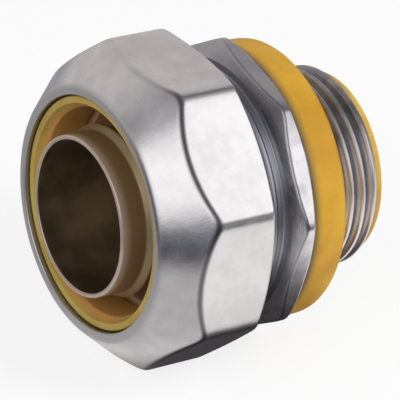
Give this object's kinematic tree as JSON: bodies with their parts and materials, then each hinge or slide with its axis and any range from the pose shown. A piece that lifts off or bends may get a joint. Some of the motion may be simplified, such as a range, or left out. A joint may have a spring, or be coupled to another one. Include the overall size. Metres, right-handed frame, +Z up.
{
  "type": "liquidtight conduit connector",
  "caption": "Straight liquidtight conduit connector: octagonal gland nut over a sealing ring and ferrule, flanged body with threaded hub, gasket and insulated throat.",
  "frame": {"origin": "on the axis, in the plane where the gasket meets the wall of the box", "axes": "+Y along the axis towards the hub's end, +Z up with the connector lying on a flat of its nut"},
  "size_m": [0.0404, 0.0388, 0.0404],
  "materials": {
    "zinc_plated_steel": "bright zinc plate over a cast and machined surface",
    "ferrule_steel": "thin rolled steel, dull yellow-brown plating",
    "ring_plastic": "moulded yellow plastic, satin",
    "gasket_rubber": "moulded amber elastomer, satin",
    "liner_plastic": "moulded yellow plastic, satin"
  },
  "bodies": {
    "connector": {"connector_body": "zinc_plated_steel", "ferrule": "ferrule_steel", "box_gasket": "gasket_rubber", "throat_liner": "liner_plastic"},
    "ring": {"sealing_ring": "ring_plastic"},
    "nut": {"gland_nut": "zinc_plated_steel"}
  },
  "joints": [
    {"name": "nut_travel", "type": "slide", "parent": "connector", "child": "ring", "axis": [0, -1, 0], "range_m": [0, 0.006]},
    {"name": "nut_turn", "type": "hinge", "parent": "ring", "child": "nut", "pos_m": [0, -0.01995, 0], "axis": [0, -1, 0], "range_deg": [0, 1440]}
  ],
  "couplings": [
    {"joint": "nut_travel", "follows": "nut_turn", "m_per_rad": 0.00023873}
  ]
}
